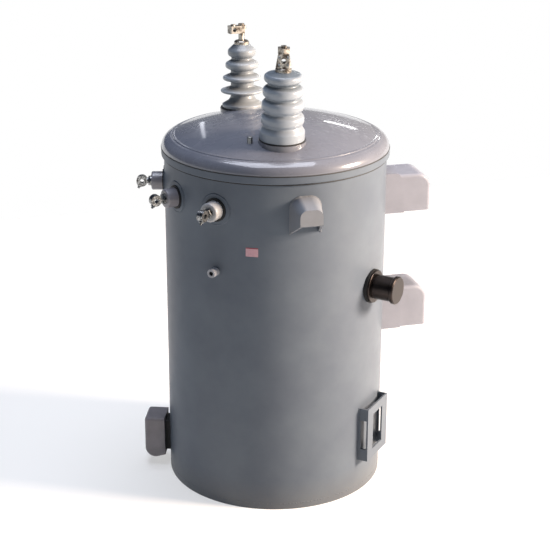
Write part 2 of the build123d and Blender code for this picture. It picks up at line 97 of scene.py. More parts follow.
add_light("panel_right", start=(2.43, -1.63, 1.6), end=(2.79, -0.91, 1.6), width=0.8,
          aim=(0.0, 0.0, 0.4), power=352.0, colour="ffe7d1")
add_light("sheet_above", start=(-1.2, 0.3, 4.0), end=(1.2, 0.3, 4.0), width=2.4,
          aim=(0.0, 0.3, 0.0), power=140.0, colour="ecf1ff")
add_light("tube_right", start=(1.01, 2.18, 1.56), end=(1.26, 2.08, 1.50), width=0.045,
          aim=(0.13, -0.06, 0.84), power=0.6, colour="ffffff")
add_light("tube_left", start=(0.1, 2.51, 1.24), end=(-0.18, 2.13, 2.04), width=0.035,
          aim=(-0.17, -0.01, 0.834), power=0.3, colour="f4f6ff")
world = bpy.data.worlds.new("studio")
scene.world = world
world.use_nodes = True
room = world.node_tree
room_way = add_node(room, "ShaderNodeTexCoord", {}, {}).outputs["Generated"]
bright_way = (0.94, 0.34, 0.0)
room_side = add_node(room, "ShaderNodeVectorMath", {"operation": "DOT_PRODUCT", 1: bright_way}, {0: room_way})
room_share = add_node(room, "ShaderNodeMapRange", {"From Min": 0.25, "From Max": 0.85},
                      {"Value": room_side.outputs["Value"]})
room_wall = add_node(room, "ShaderNodeMix", {"data_type": "RGBA", 6: linear("1d2a40"), 7: linear("b4b2ae")},
                     {0: room_share.outputs[0]})
horizon_rise = 0.015
room_rise = add_node(room, "ShaderNodeSeparateXYZ", {}, {0: room_way}).outputs["Z"]
room_upper = add_node(room, "ShaderNodeMath", {"operation": "GREATER_THAN", 1: horizon_rise}, {0: room_rise})
room_tone = add_node(room, "ShaderNodeMix", {"data_type": "RGBA", 6: linear("ffffff")},
                     {0: room_upper.outputs[0], 7: room_wall.outputs[2]})
room.links.new(room_tone.outputs[2], room.nodes["Background"].inputs["Color"])

floor_reach = 2.0
floor_mesh = bpy.data.meshes.new("floor")
floor_corners = [(x * floor_reach, y * floor_reach, 0) for x, y in ((-1, -1), (1, -1), (1, 1), (-1, 1))]
floor_mesh.from_pydata(floor_corners, [], [(0, 1, 2, 3)])
floor = bpy.data.objects.new("floor", floor_mesh)
scene.collection.objects.link(floor)
# Matt white acrylic sheet, lit from below: it keeps the floor pale and the shadow on it soft
floor_paint = bpy.data.materials.new("lit_white_acrylic_floor")
floor_paint.use_nodes = True
floor_surface = floor_paint.node_tree.nodes["Principled BSDF"].inputs
floor_surface["Base Color"].default_value = linear("bcbcbb")
floor_surface["Roughness"].default_value = 0.9
floor_surface["Emission Color"].default_value = linear("ffffff")
floor_surface["Emission Strength"].default_value = 0.5
floor_mesh.materials.append(floor_paint)


# Tank wall and bottom. The wall is one rolled steel sheet that stands on its own edge, closed by an upright
# weld on the pole side. The bottom plate is set up inside it and welded all round. Both are sprayed with grey
# enamel.
def new_material(name, **surface_settings):
    """Add a material with a principled surface, and give its node tree, surface and Object coordinates."""
    material = bpy.data.materials.new(name)
    material.use_nodes = True
    tree = material.node_tree
    tree.nodes.clear()
    settings = {key.replace("_", " "): value for key, value in surface_settings.items()}
    surface = add_node(tree, "ShaderNodeBsdfPrincipled", settings, {})
    add_node(tree, "ShaderNodeOutputMaterial", {}, {"Surface": surface.outputs[0]})
    place = add_node(tree, "ShaderNodeTexCoord", {}, {}).outputs["Object"]
    return material, tree, surface, place


def per_metre(millimetres):
    """Scale of a texture whose features are this many millimetres across."""
    return 1000.0 / millimetres


def finish_with(material, *names):
    """Give CAD nodes one material."""
    for name in names:
        parts[name].data.materials.clear()
        parts[name].data.materials.append(material)


def spray_enamel(name, clean, shaded, roughness, coat, peel, depth):
    """Sprayed enamel on steel: a cloudy tone, fine ripples of orange peel, dull patches and dust low down."""
    material, tree, surface, place = new_material(name, Coat_Weight=coat, Coat_Roughness=0.07,
                                                  Specular_IOR_Level=0.2)
    cloud = add_node(tree, "ShaderNodeTexNoise", {"Scale": per_metre(120.0), "Detail": 5.0, "Roughness": 0.6},
                     {"Vector": place})
    tone = add_node(tree, "ShaderNodeValToRGB", {}, {0: cloud.outputs["Fac"]})
    tone.color_ramp.elements[0].position = 0.32
    tone.color_ramp.elements[0].color = linear(shaded)
    tone.color_ramp.elements[1].position = 0.68
    tone.color_ramp.elements[1].color = linear(clean)
    height = add_node(tree, "ShaderNodeSeparateXYZ", {}, {0: place}).outputs["Z"]
    near_floor = add_node(tree, "ShaderNodeMapRange", {"From Max": 0.07, "To Min": 0.55, "To Max": 0.0},
                          {"Value": height})
    specks = add_node(tree, "ShaderNodeTexNoise", {"Scale": per_metre(6.0), "Detail": 8.0, "Roughness": 0.7},
                      {"Vector": place})
    dust_share = add_node(tree, "ShaderNodeMath", {"operation": "MULTIPLY"},
                          {0: near_floor.outputs[0], 1: specks.outputs["Fac"]})
    dusty = add_node(tree, "ShaderNodeMix", {"data_type": "RGBA", 7: linear("6b665c")},
                     {0: dust_share.outputs[0], 6: tone.outputs["Color"]})
    tree.links.new(dusty.outputs[2], surface.inputs["Base Color"])
    patches = add_node(tree, "ShaderNodeTexNoise", {"Scale": per_metre(35.0), "Detail": 4.0},
                       {"Vector": place})
    dullness = add_node(tree, "ShaderNodeMapRange", {"To Min": roughness - 0.06, "To Max": roughness + 0.08},
                        {"Value": patches.outputs["Fac"]})
    tree.links.new(dullness.outputs[0], surface.inputs["Roughness"])
    ripple = add_node(tree, "ShaderNodeTexNoise", {"Scale": per_metre(peel), "Detail": 1.0},
                      {"Vector": place})
    waves = add_node(tree, "ShaderNodeTexNoise", {"Scale": per_metre(70.0), "Detail": 1.0}, {"Vector": place})
    wave_share = 6.0
    relief = add_node(tree, "ShaderNodeMath", {"operation": "MULTIPLY_ADD", 1: wave_share},
                      {0: waves.outputs["Fac"], 2: ripple.outputs["Fac"]})
    bump = add_node(tree, "ShaderNodeBump", {"Strength": 0.35, "Distance": depth},
                    {"Height": relief.outputs[0]})
    tree.links.new(bump.outputs[0], surface.inputs["Normal"])
    return material


# Grey transformer enamel, sprayed: an even grey with a soft gloss and a fine ripple in its reflections
tank_enamel = spray_enamel("grey_spray_enamel", clean="5b646e", shaded="535b66", roughness=0.42, coat=0.06,
                           peel=1.6, depth=0.0002)
finish_with(tank_enamel, "tank_shell", "tank_bottom")

tank_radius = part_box("tank_shell")[1].x
tank_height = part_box("tank_shell")[1].z
bottom_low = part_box("tank_bottom")[0].z


def on_wall(angle, level, sideways=0.0, out=0.0):
    """Point on the tank's wall beside an upright line at an angle, or that far out from the wall."""
    depth = sqrt(tank_radius**2 - sideways**2) + out
    along = (cos(angle), sin(angle))
    return Vector((depth * along[0] - sideways * along[1], depth * along[1] + sideways * along[0], level))


def keep_piece(name, shape):
    """Make a mesh a piece that rides on the body."""
    piece = bpy.data.objects.new(name, shape)
    scene.collection.objects.link(piece)
    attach(piece, "root")


def smooth(shape):
    """Shade a mesh smooth, apart from its sharp edges."""
    shape.shade_smooth()
    shape.set_sharp_from_angle(angle=radians(40.0))


def start_tree(name, sizes):
    """Start a tree of geometry nodes, and give the tree, its inputs' identifiers and what they bring in."""
    tree = bpy.data.node_groups.new(name, "GeometryNodeTree")
    tree.interface.new_socket(name="Geometry", in_out="INPUT", socket_type="NodeSocketGeometry")
    keys = {}
    for label, value in sizes.items():
        kind = "NodeSocketInt" if isinstance(value, int) else "NodeSocketFloat"
        socket = tree.interface.new_socket(name=label, in_out="INPUT", socket_type=kind)
        socket.default_value = value
        keys[label] = socket.identifier
    finish = tree.interface.new_socket(name="Finish", in_out="INPUT", socket_type="NodeSocketMaterial")
    keys["Finish"] = finish.identifier
    tree.interface.new_socket(name="Geometry", in_out="OUTPUT", socket_type="NodeSocketGeometry")
    return tree, keys, add_node(tree, "NodeGroupInput", {}, {}).outputs


def end_tree(tree, given, copies):
    """End a tree of geometry nodes: its copies are made real and get their finish."""
    real = add_node(tree, "GeometryNodeRealizeInstances", {}, {0: copies})
    dressed = add_node(tree, "GeometryNodeSetMaterial", {},
                       {"Geometry": real.outputs[0], "Material": given["Finish"]})
    add_node(tree, "NodeGroupOutput", {}, {0: dressed.outputs[0]})


def run_tree(name, tree, keys, inputs, points, edges=(), directions=()):
    """Run a tree of geometry nodes on points and edges, and keep the result as a plain mesh piece."""
    start = bpy.data.meshes.new(name + "_start")
    start.from_pydata(points, edges, [])
    if directions:
        aims = start.attributes.new("direction", "FLOAT_VECTOR", "POINT")
        for index, direction in enumerate(directions):
            aims.data[index].vector = direction
    built = bpy.data.objects.new(name + "_start", start)
    scene.collection.objects.link(built)
    modifier = built.modifiers.new("shape", "NODES")
    modifier.node_group = tree
    for label, value in inputs.items():
        modifier[keys[label]] = value
    bpy.context.view_layer.update()
    shape = bpy.data.meshes.new_from_object(built.evaluated_get(bpy.context.evaluated_depsgraph_get()))
    bpy.data.objects.remove(built)
    shape.name = name
    smooth(shape)
    keep_piece(name, shape)


# Weld bead: overlapping drops along a path, a little uneven in size, as a hand weld leaves them
bead_sizes = {"Bead Width": 0.005, "Bead Pitch": 0.0022, "Seed": 1}
# The smallest and largest drop, and the distance between two drops, as shares of the bead's width
smallest_drop = 0.86
largest_drop = 1.1
bead_step = 0.42
bead_tree, bead_keys, given = start_tree("weld_bead", bead_sizes)
path = add_node(bead_tree, "GeometryNodeMeshToCurve", {}, {"Mesh": given["Geometry"]})
stops = add_node(bead_tree, "GeometryNodeResampleCurve", {"mode": "LENGTH"},
                 {"Curve": path.outputs[0], "Length": given["Bead Pitch"]})
radius = add_node(bead_tree, "ShaderNodeMath", {"operation": "MULTIPLY", 1: 0.5}, {0: given["Bead Width"]})
drop = add_node(bead_tree, "GeometryNodeMeshIcoSphere", {"Subdivisions": 2}, {"Radius": radius.outputs[0]})
uneven = add_node(bead_tree, "FunctionNodeRandomValue",
                  {"data_type": "FLOAT", 2: smallest_drop, 3: largest_drop}, {"Seed": given["Seed"]})
drops = add_node(bead_tree, "GeometryNodeInstanceOnPoints", {},
                 {"Points": stops.outputs[0], "Instance": drop.outputs["Mesh"], "Scale": uneven.outputs[1]})
end_tree(bead_tree, given, drops.outputs[0])


def weld_bead(name, paths, width, seed, finish):
    """Weld bead along one or more paths of points."""
    points = []
    edges = []
    for line in paths:
        edges += [(len(points) + i, len(points) + i + 1) for i in range(len(line) - 1)]
        points += line
    inputs = {"Bead Width": width, "Bead Pitch": width * bead_step, "Seed": seed, "Finish": finish}
    run_tree(name, bead_tree, bead_keys, inputs, points, edges)


def wall_ring(angle, level, ring_radius, ring_steps):
    """Closed ring of points on the wall about a point on it."""
    turns = [2 * pi * i / ring_steps for i in range(ring_steps + 1)]
    return [on_wall(angle, level + ring_radius * sin(turn), ring_radius * cos(turn)) for turn in turns]


seam_angle = radians(38.0)
seam_margin = 0.012
seam_bead = 0.006
wall_seam = [on_wall(seam_angle, level) for level in (seam_margin, tank_height - 2 * seam_margin)]
weld_bead("tank_seam_weld", [wall_seam], seam_bead, seed=3, finish=tank_enamel)
bottom_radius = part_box("tank_bottom")[1].x
bottom_bead = 0.007
bottom_steps = 96
bottom_turns = [2 * pi * i / bottom_steps for i in range(bottom_steps + 1)]
bottom_ring = [Vector((bottom_radius * cos(turn), bottom_radius * sin(turn), bottom_low))
               for turn in bottom_turns]
weld_bead("tank_bottom_weld", [bottom_ring], bottom_bead, seed=4, finish=tank_enamel)


# Cover. A pressed dome with a stepped ring where the crown meets the rolled shoulder, and a flat pad under
# each high voltage bushing. It has the tank's enamel, sprayed thicker, in a lighter copy that is painted
# light on the top. A short plated stud stands on it.

# Grey transformer enamel, sprayed thick: glossy enough to draw the lights, with very little ripple in them.
# Its colours are lighter than the tank's: painted light.
cover_enamel_painted_light = spray_enamel("glossy_grey_enamel", clean="6b6e77", shaded="62656e", roughness=0.26, coat=0.8,
                            peel=2.2, depth=0.00002)
finish_with(cover_enamel_painted_light, "cover")


def turned_ring(name, finish, outline, steps):
    """Closed ring: an outline of radius and height pairs turned about the tank's upright axis."""
    mesh = bmesh.new()
    turns = [2 * pi * i / steps for i in range(steps)]
    rings = [[mesh.verts.new((radius * cos(turn), radius * sin(turn), height)) for turn in turns]
             for radius, height in outline]
    for k, low in enumerate(rings):
        high = rings[(k + 1) % len(rings)]
        for i in range(steps):
            j = (i + 1) % steps
            mesh.faces.new((low[i], low[j], high[j], high[i]))
    bmesh.ops.recalc_face_normals(mesh, faces=mesh.faces)
    shape = bpy.data.meshes.new(name)
    mesh.to_mesh(shape)
    mesh.free()
    shape.materials.append(finish)
    smooth(shape)
    keep_piece(name, shape)


cover_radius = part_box("cover")[1].x
cover_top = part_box("cover")[1].z
band_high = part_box("cover_band")[1].z
shoulder = 0.025
shoulder_centre = cover_radius - shoulder
crown_rise = cover_top - band_high
crown_radius = (shoulder_centre**2 + crown_rise**2 - shoulder**2) / (2 * (crown_rise - shoulder))
crown_centre = cover_top - crown_radius
step_radius = 0.232
step_width = 0.008
step_rise = 0.0012
step_points = 16
step_sides = 128
# Below one, this makes the step's rounded section fuller
step_power = 0.7
# The step is let in a little, and its underside lies deeper still, so that no gap shows
step_sink = 0.0002
step_depth = 0.001
step_outline = []
for i in range(step_points + 1):
    across = step_radius - step_width + 2 * step_width * i / step_points
    if across < shoulder_centre:
        base = crown_centre + sqrt(crown_radius**2 - across**2)
    else:
        base = band_high + sqrt(shoulder**2 - (across - shoulder_centre) ** 2)
    step_outline.append((across, base + step_rise * sin(pi * i / step_points) ** step_power - step_sink))
step_outline.append((step_radius + step_width, step_outline[-1][1] - step_depth))
step_outline.append((step_radius - step_width, step_outline[0][1] - step_depth))
turned_ring("cover_step", cover_enamel_painted_light, step_outline, step_sides)

# Plated steel, barrel tumbled: a cool grey metal with soft blurred reflections and fine dull specks
plated_steel, tree, surface, place = new_material("zinc_plated_steel", Metallic=1.0)
specks = add_node(tree, "ShaderNodeTexNoise", {"Scale": per_metre(1.2), "Detail": 6.0}, {"Vector": place})
tone = add_node(tree, "ShaderNodeValToRGB", {}, {0: specks.outputs["Fac"]})
tone.color_ramp.elements[0].position = 0.35
tone.color_ramp.elements[0].color = linear("6f7274")
tone.color_ramp.elements[1].color = linear("a7a9a9")
dull = add_node(tree, "ShaderNodeMapRange", {"To Min": 0.22, "To Max": 0.45},
                {"Value": specks.outputs["Fac"]})
tree.links.new(tone.outputs["Color"], surface.inputs["Base Color"])
tree.links.new(dull.outputs[0], surface.inputs["Roughness"])
finish_with(plated_steel, "cover_stud")


# Clamping band. A rolled steel strip with turned edges that holds the cover down on the tank and is painted
# with it. A dark line of sealing compound shows where the cover's edge sits in the band's upper groove, and a
# dark ring below the band is painted shadow under its lower edge.
finish_with(tank_enamel, "cover_band")

# Sealing compound, cured: a soft black line that takes the light away at the joint. The same black makes the
# painted shadow ring under the band.
compound_and_painted_shadow, tree, surface, place = new_material("black_sealing_compound", Roughness=0.7)
grain = add_node(tree, "ShaderNodeTexNoise", {"Scale": per_metre(0.8), "Detail": 3.0}, {"Vector": place})
tone = add_node(tree, "ShaderNodeValToRGB", {}, {0: grain.outputs["Fac"]})
tone.color_ramp.elements[0].color = linear("15171a")
tone.color_ramp.elements[1].color = linear("2b2e31")
tree.links.new(tone.outputs["Color"], surface.inputs["Base Color"])
band_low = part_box("cover_band")[0].z
dark_ring_round = 0.0017
seal_sink = 0.0008
dark_ring_steps = 8
dark_ring_sides = 160
# The upper ring is sealing compound in the joint; the lower one is painted shadow under the band's edge
for name, dark_ring_radius, level in (("cover_seal_upper", cover_radius - seal_sink, band_high),
                                 ("band_shadow_ring", tank_radius + dark_ring_round, band_low - dark_ring_round)):
    dark_ring_turns = [2 * pi * i / dark_ring_steps for i in range(dark_ring_steps)]
    circle = [(dark_ring_radius + dark_ring_round * cos(turn), level + dark_ring_round * sin(turn)) for turn in dark_ring_turns]
    turned_ring(name, compound_and_painted_shadow, circle, dark_ring_sides)


# High voltage bushings. Pressed and turned porcelain with rounded sheds, glazed pale grey, each on a black
# ring of nitrile rubber on its pad. They stand on one line across the cover, and each leans out a little.
def glazed_porcelain(name, seat, axis, core, shed, clean, shaded, gloss):
    """Glazed porcelain: a hard gloss on a pale body, painted shade and dust in the grooves, faint turning
    rings and specks.
    """
    material, tree, surface, place = new_material(name, Coat_Weight=gloss, Coat_Roughness=0.16,
                                                  Subsurface_Weight=0.04,
                                                  Subsurface_Radius=(0.003, 0.003, 0.003))
    arm = add_node(tree, "ShaderNodeVectorMath", {"operation": "SUBTRACT", 1: seat}, {0: place})
    across = add_node(tree, "ShaderNodeVectorMath", {"operation": "CROSS_PRODUCT", 1: axis},
                      {0: arm.outputs[0]})
    distance = add_node(tree, "ShaderNodeVectorMath", {"operation": "LENGTH"}, {0: across.outputs[0]})
    rise = add_node(tree, "ShaderNodeVectorMath", {"operation": "DOT_PRODUCT", 1: axis}, {0: arm.outputs[0]})
    cloud = add_node(tree, "ShaderNodeTexNoise", {"Scale": per_metre(14.0), "Detail": 5.0}, {"Vector": place})
    # Painted shade, with some dust: the glaze darkens towards the core, where the grooves lie, along a ragged
    # edge
    shade_edge_wobble = 0.006
    shade_reach = add_node(tree, "ShaderNodeMath", {"operation": "MULTIPLY_ADD", 1: shade_edge_wobble},
                    {0: cloud.outputs["Fac"], 2: distance.outputs["Value"]})
    groove_shade = add_node(tree, "ShaderNodeMapRange", {"From Min": core, "From Max": shed},
                      {"Value": shade_reach.outputs[0]})
    tone = add_node(tree, "ShaderNodeValToRGB", {}, {0: groove_shade.outputs[0]})
    tone.color_ramp.elements[0].color = linear(shaded)
    tone.color_ramp.elements[1].color = linear(clean)
    speck = add_node(tree, "ShaderNodeTexNoise", {"Scale": per_metre(1.1), "Detail": 2.0}, {"Vector": place})
    spot = add_node(tree, "ShaderNodeMapRange", {"From Min": 0.7, "From Max": 0.78, "To Max": 0.5},
                    {"Value": speck.outputs["Fac"]})
    spotted = add_node(tree, "ShaderNodeMix", {"data_type": "RGBA", 7: linear("6d675f")},
                       {0: spot.outputs[0], 6: tone.outputs["Color"]})
    tree.links.new(spotted.outputs[2], surface.inputs["Base Color"])
    dull = add_node(tree, "ShaderNodeMapRange", {"To Min": 0.5, "To Max": 0.34}, {"Value": groove_shade.outputs[0]})
    tree.links.new(dull.outputs[0], surface.inputs["Roughness"])
    ring_spacing = 2.4
    ring_share = 0.12
    phase = add_node(tree, "ShaderNodeMath", {"operation": "MULTIPLY", 1: 2 * pi * per_metre(ring_spacing)},
                     {0: rise.outputs["Value"]})
    rings = add_node(tree, "ShaderNodeMath", {"operation": "SINE"}, {0: phase.outputs[0]})
    relief = add_node(tree, "ShaderNodeMath", {"operation": "MULTIPLY_ADD", 1: ring_share},
                      {0: rings.outputs[0], 2: cloud.outputs["Fac"]})
    bump = add_node(tree, "ShaderNodeBump", {"Strength": 0.3, "Distance": 0.0004},
                    {"Height": relief.outputs[0]})
    tree.links.new(bump.outputs[0], surface.inputs["Normal"])
    return material


# Nitrile rubber, moulded: nearly black with a dull sheen and a fine grain. On the low bracket's pad the same
# black is painted shade.
rubber_and_painted_shade, tree, surface, place = new_material("black_nitrile_rubber", Specular_IOR_Level=0.4)
grain = add_node(tree, "ShaderNodeTexNoise", {"Scale": per_metre(0.9), "Detail": 4.0}, {"Vector": place})
tone = add_node(tree, "ShaderNodeValToRGB", {}, {0: grain.outputs["Fac"]})
tone.color_ramp.elements[0].color = linear("08090a")
tone.color_ramp.elements[1].color = linear("191b1d")
dull = add_node(tree, "ShaderNodeMapRange", {"To Min": 0.5, "To Max": 0.75}, {"Value": grain.outputs["Fac"]})
bump = add_node(tree, "ShaderNodeBump", {"Strength": 0.2, "Distance": 0.0001},
                {"Height": grain.outputs["Fac"]})
tree.links.new(tone.outputs["Color"], surface.inputs["Base Color"])
tree.links.new(dull.outputs[0], surface.inputs["Roughness"])
tree.links.new(bump.outputs[0], surface.inputs["Normal"])
finish_with(rubber_and_painted_shade, "hv_gasket_front", "hv_gasket_back")


def reach(name, start, direction):
    """How far a CAD node's mesh goes from a point in a direction."""
    return max((vertex.co - start).dot(direction) for vertex in parts[name].data.vertices)


# The line on which the bushings stand is turned a little, and each leans out along it
line_turn = radians(2.9)
lean = radians(2.5)
glaze_gloss = 0.25
hv_axis = {}
hv_seat = {}
# Pale grey glaze on porcelain: smooth and bright on the sheds, darker towards the core with painted shade and
# dust in the grooves.
# The two bushings get different tones of the one glaze, set to the light on each: the front one's darker
# tones are
# painted shade. Each row: the side of the middle, the bushing, the radii of its core and sheds, and the two
# colours of its glaze.
for side, name, core, shed, clean, shaded in ((-1, "front", 0.037, 0.045, "87909a", "566069"),
                                              (1, "back", 0.027, 0.043, "8f969c", "6c737a")):
    low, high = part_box("hv_gasket_" + name)
    hv_axis[name] = Vector((-side * sin(lean) * sin(line_turn), side * sin(lean) * cos(line_turn), cos(lean)))
    hv_seat[name] = (low + high) / 2
    glaze = glazed_porcelain("pale_glazed_porcelain_" + name, hv_seat[name], hv_axis[name], core, shed, clean,
                             shaded, glaze_gloss)
    finish_with(glaze, "hv_bushing_" + name)


# High voltage terminals. Cast bronze, tinned, on the stud that comes out of each bushing. The front one has
# an eye for the wire and a nut above it, the back one a clamp at its side. Four small bolts stand beside the
# front eye.
def tarnished(name, bright, dull, patch, low, high):
    """Tinned metal gone dull: bright on the high spots, brown grey between them, with an uneven gloss."""
    material, tree, surface, place = new_material(name, Metallic=1.0)
    cloud = add_node(tree, "ShaderNodeTexNoise", {"Scale": per_metre(patch), "Detail": 3.0},
                     {"Vector": place})
    tone = add_node(tree, "ShaderNodeValToRGB", {}, {0: cloud.outputs["Fac"]})
    tone.color_ramp.elements[0].position = 0.38
    tone.color_ramp.elements[0].color = linear(dull)
    tone.color_ramp.elements[1].position = 0.6
    tone.color_ramp.elements[1].color = linear(bright)
    gloss = add_node(tree, "ShaderNodeMapRange", {"To Min": high, "To Max": low},
                     {"Value": cloud.outputs["Fac"]})
    cast = add_node(tree, "ShaderNodeTexNoise", {"Scale": per_metre(1.0), "Detail": 3.0}, {"Vector": place})
    bump = add_node(tree, "ShaderNodeBump", {"Strength": 0.35, "Distance": 0.0001},
                    {"Height": cast.outputs["Fac"]})
    tree.links.new(tone.outputs["Color"], surface.inputs["Base Color"])
    tree.links.new(gloss.outputs[0], surface.inputs["Roughness"])
    tree.links.new(bump.outputs[0], surface.inputs["Normal"])
    return material


# Tinned bronze, cast and weathered: dull brown in the hollows, warm silver where it is rubbed
bronze = tarnished("tinned_cast_bronze", bright="b5b1a9", dull="58524b", patch=9.0, low=0.32, high=0.55)
finish_with(bronze, "hv_terminal_front", "hv_terminal_back")

# Screw thread: a wire with four sides, wound in a helix about each given point's direction
thread_sizes = {"Radius": 0.006, "Length": 0.01, "Pitch": 0.0015}
thread_share = 0.42
thread_tree, thread_keys, given = start_tree("screw_thread", thread_sizes)
turns = add_node(thread_tree, "ShaderNodeMath", {"operation": "DIVIDE"},
                 {0: given["Length"], 1: given["Pitch"]})
helix = add_node(thread_tree, "GeometryNodeCurveSpiral", {"Resolution": 20},
                 {"Rotations": turns.outputs[0], "Start Radius": given["Radius"],
                  "End Radius": given["Radius"], "Height": given["Length"]})
depth = add_node(thread_tree, "ShaderNodeMath", {"operation": "MULTIPLY", 1: thread_share},
                 {0: given["Pitch"]})
section = add_node(thread_tree, "GeometryNodeCurvePrimitiveCircle", {"Resolution": 4},
                   {"Radius": depth.outputs[0]})
wire = add_node(thread_tree, "GeometryNodeCurveToMesh", {"Fill Caps": True},
                {"Curve": helix.outputs[0], "Profile Curve": section.outputs[0]})


def stand_on_points(tree, given, shape):
    """Set a copy of a shape on each given point, standing along the point's direction, and end the tree."""
    aim = add_node(tree, "GeometryNodeInputNamedAttribute",
                   {"data_type": "FLOAT_VECTOR", "Name": "direction"}, {})
    turn = add_node(tree, "FunctionNodeAlignRotationToVector", {"axis": "Z"}, {"Vector": aim.outputs[0]})
    copies = add_node(tree, "GeometryNodeInstanceOnPoints", {},
                      {"Points": given["Geometry"], "Instance": shape, "Rotation": turn.outputs[0]})
    end_tree(tree, given, copies.outputs[0])


stand_on_points(thread_tree, given, wire.outputs[0])


def threads(name, starts, directions, radius, length, pitch, finish):
    """Threads of one size, each from its start along its direction."""
    inputs = {"Radius": radius, "Length": length, "Pitch": pitch, "Finish": finish}
    run_tree(name, thread_tree, thread_keys, inputs, starts, directions=directions)


# Bolt head: a washer, a chamfered hexagon on it and the end of the shank, set on each given point
bolt_sizes = {"Flats": 0.01, "Head Height": 0.004, "Shank Length": 0.004}
bolt_tree, bolt_keys, given = start_tree("hexagon_bolt", bolt_sizes)
bolt_stack = add_node(bolt_tree, "GeometryNodeJoinGeometry", {}, {})
corner_reach = 1 / sqrt(3)
shank_share = 0.3
# Each layer: its corners, its radius at the foot and top as shares of the flats, and the place of its foot
# and top as shares of the head's height. The washer comes first, then the hexagon and its chamfer.
layers = ((28, 0.58, 0.58, -0.25, 0.0),
          (6, corner_reach, corner_reach, 0.0, 0.8),
          (6, corner_reach, 0.47, 0.8, 1.0))
for corners, foot_share, top_share, low_share, high_share in layers:
    foot = add_node(bolt_tree, "ShaderNodeMath", {"operation": "MULTIPLY", 1: foot_share},
                    {0: given["Flats"]})
    top = add_node(bolt_tree, "ShaderNodeMath", {"operation": "MULTIPLY", 1: top_share}, {0: given["Flats"]})
    tall = add_node(bolt_tree, "ShaderNodeMath", {"operation": "MULTIPLY", 1: high_share - low_share},
                    {0: given["Head Height"]})
    lift = add_node(bolt_tree, "ShaderNodeMath", {"operation": "MULTIPLY", 1: low_share},
                    {0: given["Head Height"]})
    layer = add_node(bolt_tree, "GeometryNodeMeshCone", {"Vertices": corners},
                     {"Radius Bottom": foot.outputs[0], "Radius Top": top.outputs[0],
                      "Depth": tall.outputs[0]})
    offset = add_node(bolt_tree, "ShaderNodeCombineXYZ", {}, {"Z": lift.outputs[0]})
    raised = add_node(bolt_tree, "GeometryNodeTransform", {},
                      {"Geometry": layer.outputs["Mesh"], "Translation": offset.outputs[0]})
    bolt_tree.links.new(raised.outputs[0], bolt_stack.inputs[0])
shank_radius = add_node(bolt_tree, "ShaderNodeMath", {"operation": "MULTIPLY", 1: shank_share},
                        {0: given["Flats"]})
shank_tall = add_node(bolt_tree, "ShaderNodeMath", {"operation": "ADD"},
                      {0: given["Head Height"], 1: given["Shank Length"]})
shank = add_node(bolt_tree, "GeometryNodeMeshCone", {"Vertices": 20},
                 {"Radius Bottom": shank_radius.outputs[0], "Radius Top": shank_radius.outputs[0],
                  "Depth": shank_tall.outputs[0]})
bolt_tree.links.new(shank.outputs["Mesh"], bolt_stack.inputs[0])
stand_on_points(bolt_tree, given, bolt_stack.outputs[0])


def bolts(name, seats, directions, flats, height, shank_length, finish):
    """Bolts of one size, each seated at a point and standing along its direction."""
    inputs = {"Flats": flats, "Head Height": height, "Shank Length": shank_length, "Finish": finish}
    run_tree(name, bolt_tree, bolt_keys, inputs, seats, directions=directions)


neck_depth = 0.022
eye_height = 0.024
bolt_aside = 0.0088
bolt_rise = 0.008
bolt_size = 0.0055
bolt_head = 0.003
bolt_tip = 0.001
eye_turn = radians(-105.0)
eye_out = Vector((cos(eye_turn), sin(eye_turn), 0.0))
eye_side = Vector((-sin(eye_turn), cos(eye_turn), 0.0))
front_axis = hv_axis["front"]
front_top = hv_seat["front"] + reach("hv_bushing_front", hv_seat["front"], front_axis) * front_axis
eye_centre = front_top + eye_height * front_axis
bolt_seats = [eye_centre + neck_depth / 2 * eye_out + side * bolt_aside * eye_side + rise * front_axis
              for side in (-1, 1) for rise in (-bolt_rise, bolt_rise)]
bolts("front_terminal_bolts", bolt_seats, [eye_out] * len(bolt_seats), bolt_size, bolt_head, bolt_tip,
      plated_steel)
tip_thread = 0.0034
tip_cap = 0.0008
tip_radius = 0.0056
tip_pitch = 0.0015
tip_seat = front_top + (reach("hv_terminal_front", front_top, front_axis) - tip_thread) * front_axis
threads("front_terminal_thread", [tip_seat], [front_axis], tip_radius, tip_thread - tip_cap, tip_pitch,
        bronze)


# Low voltage bushings. Short porcelain sleeves high on the wall, each on a rubber ring on a flat seat that is
# welded to the wall. A washer and a nut hold each one, and its stud ends in an eye for the cable, with a
# clamp screw.

# Tinned steel, handled: dull silver grey with dark marks
tinned = tarnished("dull_tinned_steel", bright="a9abab", dull="4b4a49", patch=3.0, low=0.22, high=0.46)
